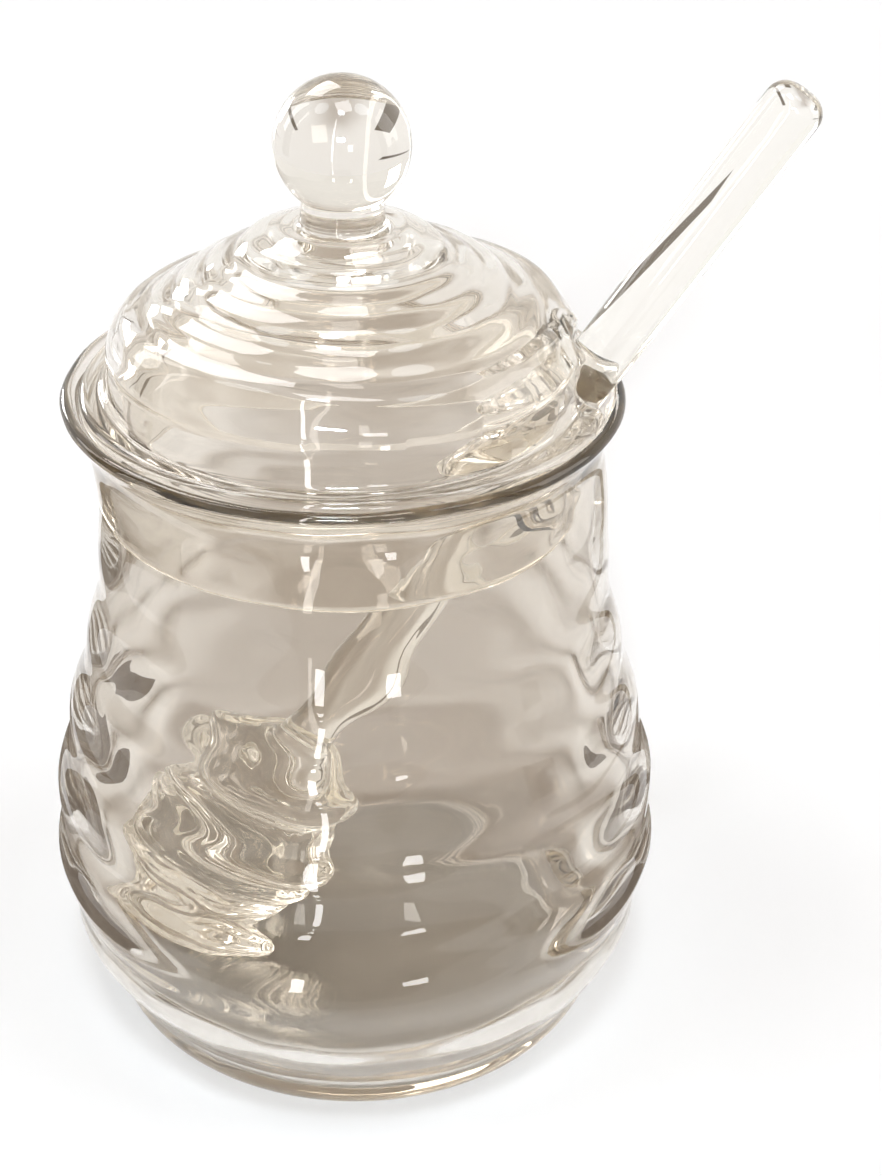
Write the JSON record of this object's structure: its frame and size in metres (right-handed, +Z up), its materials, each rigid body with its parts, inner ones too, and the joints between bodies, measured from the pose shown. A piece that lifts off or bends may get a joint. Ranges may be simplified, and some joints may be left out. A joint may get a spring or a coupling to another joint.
{
  "type": "honey pot",
  "caption": "Clear blown-glass honey pot with a ringed beehive body, domed lid with a ball knob and a dent for the dipper, and a glass dipper leaning over the rim.",
  "frame": {"origin": "on the pot's own axis, in the plane of the flat it stands on", "axes": "+Z up along the axis of the pot and the lid, +X towards the side where the dipper leans over the rim"},
  "size_m": [0.1032, 0.0878, 0.1383],
  "materials": {
    "pot_glass": "clear, fire-polished",
    "lid_glass": "clear, fire-polished",
    "dipper_glass": "clear, fire-polished"
  },
  "bodies": {
    "root": {"pot": "pot_glass", "lid": "lid_glass", "dipper": "dipper_glass"}
  },
  "joints": []
}
